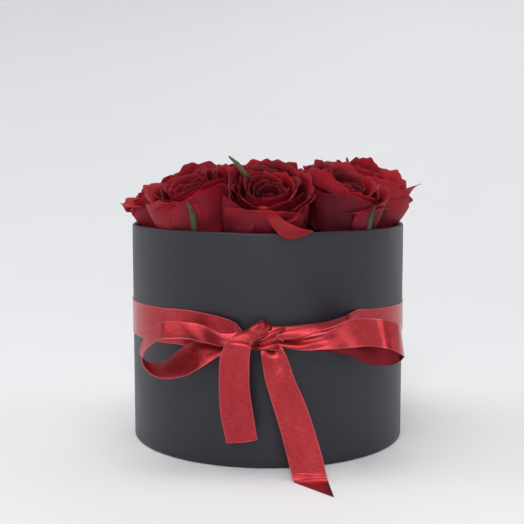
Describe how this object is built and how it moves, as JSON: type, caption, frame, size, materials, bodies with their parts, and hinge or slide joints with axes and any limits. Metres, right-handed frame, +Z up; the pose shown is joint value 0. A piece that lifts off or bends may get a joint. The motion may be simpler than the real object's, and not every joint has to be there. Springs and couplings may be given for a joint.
{
  "type": "flower box",
  "caption": "Round paper-covered board box tied with a satin ribbon bow, holding cut roses in a lift-out block of floral foam.",
  "frame": {"origin": "centre of the box's flat underside, on the surface it stands on", "axes": "+Z up along the box's axis, -Y to the front, where the bow is tied, +X to the right seen from the front"},
  "size_m": [0.1658, 0.2114, 0.169],
  "materials": {
    "greyboard": "matte",
    "charcoal_paper": "matte",
    "lining_paper": "matte",
    "liner_plastic": "satin",
    "floral_foam": "matte",
    "satin_ribbon": "satin",
    "rose_stem": "satin",
    "rose_sepal": "matte",
    "rose_petal": "matte"
  },
  "bodies": {
    "box": {"tube_wall": "greyboard", "outer_wrap": "charcoal_paper", "base_disc": "greyboard", "base_paper": "charcoal_paper", "inner_lining": "lining_paper", "floor_paper": "lining_paper", "ribbon_band": "satin_ribbon", "bow_knot": "satin_ribbon", "bow_loop_left": "satin_ribbon", "bow_loop_right": "satin_ribbon", "bow_tail_left": "satin_ribbon", "bow_tail_right": "satin_ribbon"},
    "insert": {"liner": "liner_plastic", "foam_block": "floral_foam"},
    "rose_01": {"rose_01_stem": "rose_stem", "rose_01_sepals": "rose_sepal", "rose_01_petals": "rose_petal"},
    "rose_02": {"rose_02_stem": "rose_stem", "rose_02_sepals": "rose_sepal", "rose_02_petals": "rose_petal"},
    "rose_03": {"rose_03_stem": "rose_stem", "rose_03_sepals": "rose_sepal", "rose_03_petals": "rose_petal"},
    "rose_04": {"rose_04_stem": "rose_stem", "rose_04_sepals": "rose_sepal", "rose_04_petals": "rose_petal"},
    "rose_05": {"rose_05_stem": "rose_stem", "rose_05_sepals": "rose_sepal", "rose_05_petals": "rose_petal"},
    "rose_06": {"rose_06_stem": "rose_stem", "rose_06_sepals": "rose_sepal", "rose_06_petals": "rose_petal"},
    "rose_07": {"rose_07_stem": "rose_stem", "rose_07_sepals": "rose_sepal", "rose_07_petals": "rose_petal"},
    "rose_08": {"rose_08_stem": "rose_stem", "rose_08_sepals": "rose_sepal", "rose_08_petals": "rose_petal"},
    "rose_09": {"rose_09_stem": "rose_stem", "rose_09_sepals": "rose_sepal", "rose_09_petals": "rose_petal"},
    "rose_10": {"rose_10_stem": "rose_stem", "rose_10_sepals": "rose_sepal", "rose_10_petals": "rose_petal"},
    "rose_11": {"rose_11_stem": "rose_stem", "rose_11_sepals": "rose_sepal", "rose_11_petals": "rose_petal"},
    "rose_12": {"rose_12_stem": "rose_stem", "rose_12_sepals": "rose_sepal", "rose_12_petals": "rose_petal"}
  },
  "joints": [
    {"name": "insert_lift", "type": "slide", "parent": "box", "child": "insert", "axis": [0, 0, 1], "range_m": [0, 0.165]},
    {"name": "rose_01_pull", "type": "slide", "parent": "insert", "child": "rose_01", "axis": [0, -0.1736, 0.9848], "range_m": [0, 0.14]},
    {"name": "rose_02_pull", "type": "slide", "parent": "insert", "child": "rose_02", "axis": [0.1106, -0.1106, 0.9877], "range_m": [0, 0.14]},
    {"name": "rose_03_pull", "type": "slide", "parent": "insert", "child": "rose_03", "axis": [0.1564, 0, 0.9877], "range_m": [0, 0.14]},
    {"name": "rose_04_pull", "type": "slide", "parent": "insert", "child": "rose_04", "axis": [0.1106, 0.1106, 0.9877], "range_m": [0, 0.14]},
    {"name": "rose_05_pull", "type": "slide", "parent": "insert", "child": "rose_05", "axis": [0, 0.1564, 0.9877], "range_m": [0, 0.14]},
    {"name": "rose_06_pull", "type": "slide", "parent": "insert", "child": "rose_06", "axis": [-0.1106, 0.1106, 0.9877], "range_m": [0, 0.14]},
    {"name": "rose_07_pull", "type": "slide", "parent": "insert", "child": "rose_07", "axis": [-0.1564, 0, 0.9877], "range_m": [0, 0.14]},
    {"name": "rose_08_pull", "type": "slide", "parent": "insert", "child": "rose_08", "axis": [-0.1106, -0.1106, 0.9877], "range_m": [0, 0.14]},
    {"name": "rose_09_pull", "type": "slide", "parent": "insert", "child": "rose_09", "axis": [0.0523, 0, 0.9986], "range_m": [0, 0.14]},
    {"name": "rose_10_pull", "type": "slide", "parent": "insert", "child": "rose_10", "axis": [0, 0.0523, 0.9986], "range_m": [0, 0.14]},
    {"name": "rose_11_pull", "type": "slide", "parent": "insert", "child": "rose_11", "axis": [-0.0523, 0, 0.9986], "range_m": [0, 0.14]},
    {"name": "rose_12_pull", "type": "slide", "parent": "insert", "child": "rose_12", "axis": [0, -0.0523, 0.9986], "range_m": [0, 0.14]}
  ]
}
